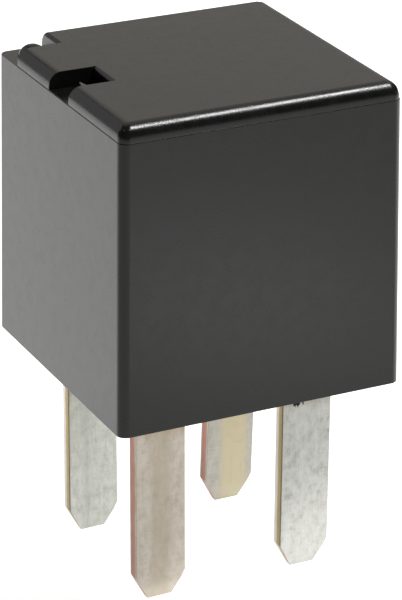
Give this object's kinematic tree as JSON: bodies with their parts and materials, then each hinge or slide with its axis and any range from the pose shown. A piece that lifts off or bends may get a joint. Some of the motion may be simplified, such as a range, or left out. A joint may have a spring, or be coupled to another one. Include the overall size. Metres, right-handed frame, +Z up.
{
  "type": "automotive relay",
  "caption": "Ultra-micro plug-in relay with a near-cubic moulded cover, four flat blades and a hinged-armature make contact inside.",
  "frame": {"origin": "centre of the underside of the base, which is level with the rim of the cover: the seating plane", "axes": "+Z up out of the socket, X across the broad faces of the blades, Y from blade row to blade row; the grip slot is on the -X side"},
  "size_m": [0.0154, 0.0154, 0.027],
  "materials": {
    "housing_plastic": "fine satin, moulded black PBT",
    "seal_plastic": "satin, heat-formed",
    "base_plastic": "satin, moulded black PBT",
    "resin": "cured epoxy, glossy meniscus",
    "tinned_copper": "tinned copper alloy strip, bare at the sheared edges",
    "tinned_brass": "tinned brass strip, bare at the sheared edges",
    "soft_iron": "zinc-plated soft iron",
    "bobbin_plastic": "natural glass-filled nylon",
    "enamelled_wire": "enamelled copper wire",
    "tape": "polyester tape",
    "spring_bronze": "rolled copper alloy",
    "rivet_steel": "headed wire",
    "silver": "silver alloy",
    "stop_steel": "plated steel strip",
    "resistor_lacquer": "lacquered film resistor",
    "lead_wire": "tinned copper wire"
  },
  "bodies": {
    "frame": {"cover": "housing_plastic", "vent_seal": "seal_plastic", "base": "base_plastic", "sealing_resin": "resin", "terminal_30": "tinned_copper", "terminal_87": "tinned_copper", "terminal_86": "tinned_brass", "terminal_85": "tinned_brass", "yoke": "soft_iron", "core": "soft_iron", "bobbin": "bobbin_plastic", "coil_winding": "enamelled_wire", "coil_tape": "tape", "yoke_rivets": "rivet_steel", "fixed_contact": "silver", "rest_stop": "stop_steel", "resistor_body": "resistor_lacquer", "resistor_leads": "lead_wire"},
    "armature": {"armature": "soft_iron", "armature_rivets": "rivet_steel", "contact_spring": "spring_bronze", "moving_contact": "silver"}
  },
  "joints": [
    {"name": "armature_hinge", "type": "hinge", "parent": "frame", "child": "armature", "pos_m": [-0.00584, 0, 0.01248], "axis": [0, 1, 0], "range_deg": [0, 2.8], "stiffness_Nm_per_rad": 0.05, "springref_deg": -2.86, "deforming": ["contact_spring"]}
  ]
}
